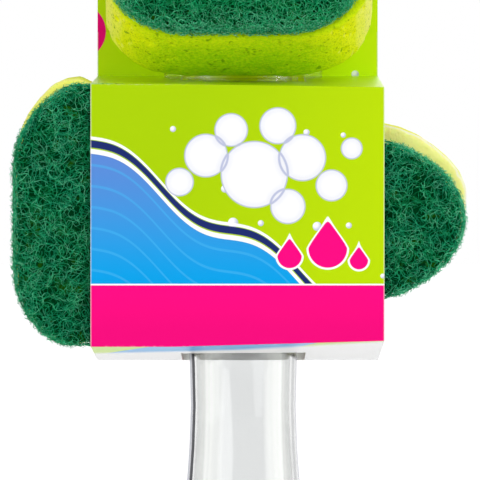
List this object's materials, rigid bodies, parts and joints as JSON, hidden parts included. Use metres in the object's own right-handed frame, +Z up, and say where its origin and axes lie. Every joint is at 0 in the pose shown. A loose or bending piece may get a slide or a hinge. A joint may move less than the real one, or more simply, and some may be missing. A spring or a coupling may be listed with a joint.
{
  "type": "soap-dispensing sponge",
  "caption": "Dish sponge wand with a clear refillable handle and an egg-shaped scouring head, hung in a printed card sleeve that also holds a spare head.",
  "frame": {"origin": "centre of the hang slot, on the printed front face of the back card", "axes": "+X to the right as seen from the front, +Y towards the back of the card, +Z up towards the card's top edge"},
  "size_m": [0.1065, 0.0701, 0.3006],
  "materials": {
    "header_print": "glossy lime print on white board",
    "sleeve_print": "glossy lime, blue and magenta print on white board",
    "clear_plastic": "clear, polished",
    "fitting_plastic": "white, satin",
    "valve_silicone": "translucent silicone",
    "seal_rubber": "matt black",
    "base_plastic": "white, fine grain",
    "yellow_foam": "open-cell foam",
    "green_scourer": "coarse tangled fibre pad",
    "cap_plastic": "white, satin, ribbed"
  },
  "bodies": {
    "pack_card": {"header_card": "header_print", "sleeve_card": "sleeve_print"},
    "wand": {"handle_bottle": "clear_plastic", "spout_insert": "fitting_plastic", "valve_ring": "fitting_plastic", "dosing_valve": "valve_silicone", "spout_o_ring": "seal_rubber"},
    "fitted_head": {"fitted_head_base": "base_plastic", "fitted_sponge": "yellow_foam", "fitted_scourer": "green_scourer"},
    "spare_head": {"spare_head_base": "base_plastic", "spare_sponge": "yellow_foam", "spare_scourer": "green_scourer"},
    "cap_washer": {"cap_gasket": "seal_rubber"},
    "cap": {"refill_cap": "cap_plastic"}
  },
  "joints": [
    {"name": "wand_lift", "type": "slide", "parent": "pack_card", "child": "wand", "axis": [0, 0, 1], "range_m": [0, 0.17]},
    {"name": "head_release", "type": "slide", "parent": "wand", "child": "fitted_head", "axis": [0, -0.9135, 0.4067], "range_m": [0, 0.04]},
    {"name": "spare_slide", "type": "slide", "parent": "pack_card", "child": "spare_head", "axis": [-1, 0, 0], "range_m": [0, 0.12]},
    {"name": "cap_drop", "type": "slide", "parent": "wand", "child": "cap_washer", "axis": [0, 0, -1], "range_m": [0, 0.012]},
    {"name": "cap_turn", "type": "hinge", "parent": "cap_washer", "child": "cap", "pos_m": [0.0014, -0.0158, -0.282], "axis": [0, 0, -1], "range_deg": [0, 1080]}
  ],
  "couplings": [
    {"joint": "cap_drop", "follows": "cap_turn", "m_per_rad": 0.00063662}
  ]
}
